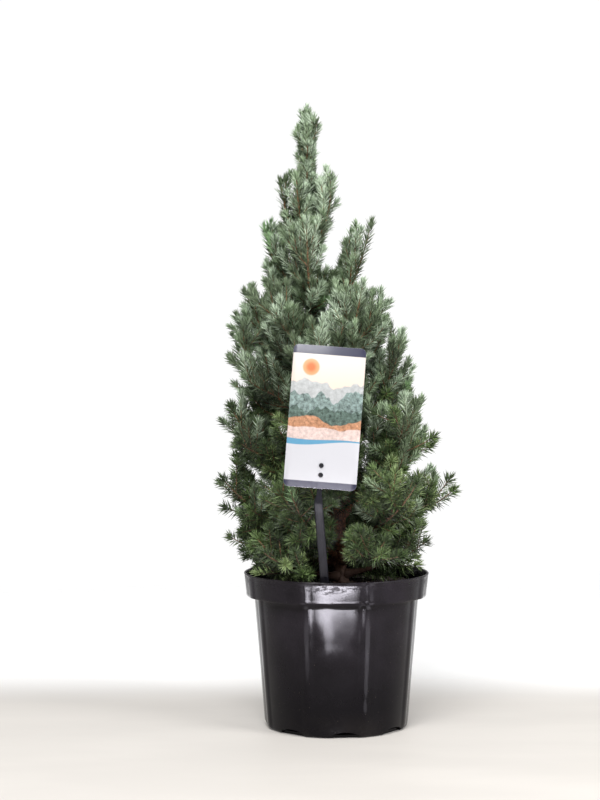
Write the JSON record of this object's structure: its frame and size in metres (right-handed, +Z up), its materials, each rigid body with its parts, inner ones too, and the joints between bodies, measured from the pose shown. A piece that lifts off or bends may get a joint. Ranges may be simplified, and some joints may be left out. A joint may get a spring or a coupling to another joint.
{
  "type": "potted blue alberta spruce",
  "caption": "Young conical dwarf spruce with blue-green needles, in a round black nursery pot with a blank picture label on a stake.",
  "frame": {"origin": "middle of the pot's flat underside, on the surface that it stands on", "axes": "+Z up along the pot's axis; +X to the right of a viewer who faces the label; -Y towards that viewer"},
  "size_m": [0.2447, 0.2326, 0.6305],
  "materials": {
    "pot": "glossy black plastic",
    "peat": "dark crumbly peat",
    "bark": "rough red-brown bark",
    "green_needles": "satin green needles",
    "blue_needles": "waxy blue-green needles",
    "card": "semi-gloss printed card",
    "stake": "satin black plastic"
  },
  "bodies": {
    "root": {"pot": "pot", "soil": "peat", "trunk": "bark", "bough_tier1_1": "bark", "foliage_tier1_1": "green_needles", "bough_tier1_2": "bark", "foliage_tier1_2": "green_needles", "bough_tier1_3": "bark", "foliage_tier1_3": "green_needles", "bough_tier1_4": "bark", "foliage_tier1_4": "green_needles", "bough_tier1_5": "bark", "foliage_tier1_5": "green_needles", "bough_tier1_6": "bark", "foliage_tier1_6": "green_needles", "bough_tier2_1": "bark", "foliage_tier2_1": "green_needles", "bough_tier2_2": "bark", "foliage_tier2_2": "green_needles", "bough_tier2_3": "bark", "foliage_tier2_3": "green_needles", "bough_tier2_4": "bark", "foliage_tier2_4": "green_needles", "bough_tier2_5": "bark", "foliage_tier2_5": "green_needles", "bough_tier2_6": "bark", "foliage_tier2_6": "green_needles", "bough_tier3_1": "bark", "foliage_tier3_1": "green_needles", "bough_tier3_2": "bark", "foliage_tier3_2": "green_needles", "bough_tier3_3": "bark", "foliage_tier3_3": "green_needles", "bough_tier3_4": "bark", "foliage_tier3_4": "green_needles", "bough_tier3_5": "bark", "foliage_tier3_5": "green_needles", "bough_tier3_6": "bark", "foliage_tier3_6": "green_needles", "foliage_tier4_1": "blue_needles", "foliage_tier4_2": "blue_needles", "foliage_tier4_3": "blue_needles", "foliage_tier4_4": "blue_needles", "foliage_tier4_5": "blue_needles", "foliage_tier5_1": "blue_needles", "foliage_tier5_2": "blue_needles", "foliage_tier5_3": "blue_needles", "foliage_tier5_4": "blue_needles", "foliage_tier5_5": "blue_needles", "foliage_tier6_1": "blue_needles", "foliage_tier6_2": "blue_needles", "foliage_tier6_3": "blue_needles", "foliage_tier6_4": "blue_needles", "foliage_tier7_1": "blue_needles", "foliage_tier7_2": "blue_needles", "foliage_tier7_3": "blue_needles", "foliage_tier7_4": "blue_needles", "foliage_leader": "blue_needles", "label_card": "card", "label_stake": "stake"}
  },
  "joints": []
}
